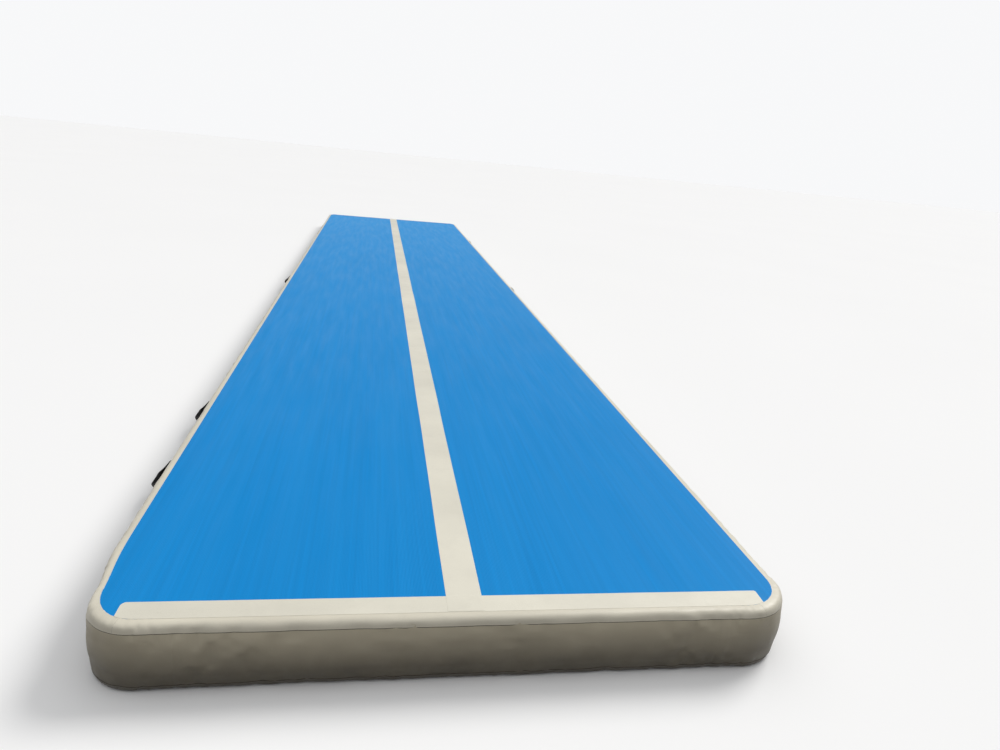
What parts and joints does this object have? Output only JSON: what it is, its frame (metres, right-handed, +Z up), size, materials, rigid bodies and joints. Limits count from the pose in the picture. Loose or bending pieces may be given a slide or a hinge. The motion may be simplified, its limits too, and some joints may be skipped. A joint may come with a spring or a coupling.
{
  "type": "inflatable tumbling mat",
  "caption": "Long flat inflated tumbling mat with rounded ends, seam tapes, a centre line, webbing carry handles and a capped air valve in one end.",
  "frame": {"origin": "centre of the resting face, on the floor", "axes": "+Z up, +Y along the mat from the plain end to the end with the valve, +X to the right when looking along +Y"},
  "size_m": [2.1204, 10.0179, 0.2],
  "materials": {
    "blue_vinyl": "woven-backed vinyl with a fine lengthwise rib, satin",
    "strip_vinyl": "thin printed vinyl, satin",
    "seam_tape": "glued vinyl tape, satin",
    "wall_vinyl": "woven-backed vinyl, satin",
    "lining_vinyl": "plain vinyl",
    "underside_vinyl": "woven-backed vinyl with a grippy grain",
    "patch_vinyl": "glued vinyl patch",
    "base_cloth": "plain woven polyester",
    "yarn": "polyester yarn",
    "webbing": "ribbed black webbing",
    "sewing_thread": "bonded thread",
    "valve_plastic": "moulded grey-black plastic",
    "button_plastic": "moulded light grey plastic",
    "tether_plastic": "flexible moulded plastic",
    "seal_rubber": "smooth rubber",
    "spring_steel": "drawn wire"
  },
  "bodies": {
    "mat": {"top_base_cloth": "base_cloth", "bottom_base_cloth": "base_cloth", "drop_threads": "yarn", "top_skin": "blue_vinyl", "bottom_skin": "underside_vinyl", "inner_wall": "lining_vinyl", "end_wall_near": "wall_vinyl", "end_wall_far": "wall_vinyl", "side_wall_left": "wall_vinyl", "side_wall_right": "wall_vinyl", "centre_line": "strip_vinyl", "end_strip_near": "strip_vinyl", "end_strip_far": "strip_vinyl", "handle_patches": "patch_vinyl", "handle_tabs": "webbing", "handle_stitching": "sewing_thread", "valve_patch": "patch_vinyl", "valve_gasket": "seal_rubber", "valve_body": "valve_plastic", "valve_nut": "valve_plastic", "valve_spring": "spring_steel", "valve_tether_anchor": "tether_plastic", "top_tape_near": "seam_tape", "top_tape_corner_near_left": "seam_tape", "top_tape_corner_near_right": "seam_tape", "top_tape_far": "seam_tape", "top_tape_corner_far_left": "seam_tape", "top_tape_corner_far_right": "seam_tape", "top_tape_left": "seam_tape", "top_tape_right": "seam_tape", "bottom_tape_near": "seam_tape", "bottom_tape_corner_near_left": "seam_tape", "bottom_tape_corner_near_right": "seam_tape", "bottom_tape_far": "seam_tape", "bottom_tape_corner_far_left": "seam_tape", "bottom_tape_corner_far_right": "seam_tape", "bottom_tape_left": "seam_tape", "bottom_tape_right": "seam_tape"},
    "handle_left_1": {"handle_grip_left_1": "webbing"},
    "handle_left_2": {"handle_grip_left_2": "webbing"},
    "handle_left_3": {"handle_grip_left_3": "webbing"},
    "handle_left_4": {"handle_grip_left_4": "webbing"},
    "handle_left_5": {"handle_grip_left_5": "webbing"},
    "handle_right_1": {"handle_grip_right_1": "webbing"},
    "handle_right_2": {"handle_grip_right_2": "webbing"},
    "handle_right_3": {"handle_grip_right_3": "webbing"},
    "handle_right_4": {"handle_grip_right_4": "webbing"},
    "handle_right_5": {"handle_grip_right_5": "webbing"},
    "valve_tether": {"valve_tether": "tether_plastic"},
    "valve_cap": {"valve_cap": "valve_plastic", "valve_cap_seal": "seal_rubber"},
    "valve_plunger": {"valve_stem": "valve_plastic", "valve_poppet_seal": "seal_rubber"},
    "valve_button": {"valve_button": "button_plastic"}
  },
  "joints": [
    {"name": "handle_left_1_swing", "type": "hinge", "parent": "mat", "child": "handle_left_1", "pos_m": [-1.0159, -3.97, 0.0995], "axis": [0, 1, 0], "range_deg": [-35, 105], "stiffness_Nm_per_rad": 0.12},
    {"name": "handle_left_2_swing", "type": "hinge", "parent": "mat", "child": "handle_left_2", "pos_m": [-1.0159, -3.31, 0.0995], "axis": [0, 1, 0], "range_deg": [-37, 103], "stiffness_Nm_per_rad": 0.12},
    {"name": "handle_left_3_swing", "type": "hinge", "parent": "mat", "child": "handle_left_3", "pos_m": [-1.0159, -0.02, 0.0995], "axis": [0, 1, 0], "range_deg": [-36, 104], "stiffness_Nm_per_rad": 0.12},
    {"name": "handle_left_4_swing", "type": "hinge", "parent": "mat", "child": "handle_left_4", "pos_m": [-1.0159, 3.32, 0.0995], "axis": [0, 1, 0], "range_deg": [-2, 138], "stiffness_Nm_per_rad": 0.12},
    {"name": "handle_left_5_swing", "type": "hinge", "parent": "mat", "child": "handle_left_5", "pos_m": [-1.0159, 3.97, 0.0995], "axis": [0, 1, 0], "range_deg": [-4, 136], "stiffness_Nm_per_rad": 0.12},
    {"name": "handle_right_1_swing", "type": "hinge", "parent": "mat", "child": "handle_right_1", "pos_m": [1.0159, -3.97, 0.0995], "axis": [0, -1, 0], "range_deg": [-4, 136], "stiffness_Nm_per_rad": 0.12},
    {"name": "handle_right_2_swing", "type": "hinge", "parent": "mat", "child": "handle_right_2", "pos_m": [1.0159, -3.31, 0.0995], "axis": [0, -1, 0], "range_deg": [-1, 139], "stiffness_Nm_per_rad": 0.12},
    {"name": "handle_right_3_swing", "type": "hinge", "parent": "mat", "child": "handle_right_3", "pos_m": [1.0159, 0.02, 0.0995], "axis": [0, -1, 0], "range_deg": [-114, 26], "stiffness_Nm_per_rad": 0.12},
    {"name": "handle_right_4_swing", "type": "hinge", "parent": "mat", "child": "handle_right_4", "pos_m": [1.0159, 3.34, 0.0995], "axis": [0, -1, 0], "range_deg": [-116, 24], "stiffness_Nm_per_rad": 0.12},
    {"name": "handle_right_5_swing", "type": "hinge", "parent": "mat", "child": "handle_right_5", "pos_m": [1.0159, 3.97, 0.0995], "axis": [0, -1, 0], "range_deg": [-3, 137], "stiffness_Nm_per_rad": 0.12},
    {"name": "cap_swing", "type": "hinge", "parent": "mat", "child": "valve_tether", "pos_m": [-0.6, 5.0082, 0.0652], "axis": [-1, 0, 0], "range_deg": [0, 140]},
    {"name": "cap_turn", "type": "hinge", "parent": "valve_tether", "child": "valve_cap", "pos_m": [-0.6, 5.0073, 0.0995], "axis": [0, 1, 0], "range_deg": [0, 90]},
    {"name": "valve_press", "type": "slide", "parent": "mat", "child": "valve_plunger", "axis": [0, -1, 0], "range_m": [0, 0.006], "stiffness_N_per_m": 400, "springref_m": -0.002, "deforming": ["valve_spring"]},
    {"name": "button_turn", "type": "hinge", "parent": "valve_plunger", "child": "valve_button", "pos_m": [-0.6, 4.996, 0.0995], "axis": [0, 1, 0], "range_deg": [0, 90]}
  ]
}
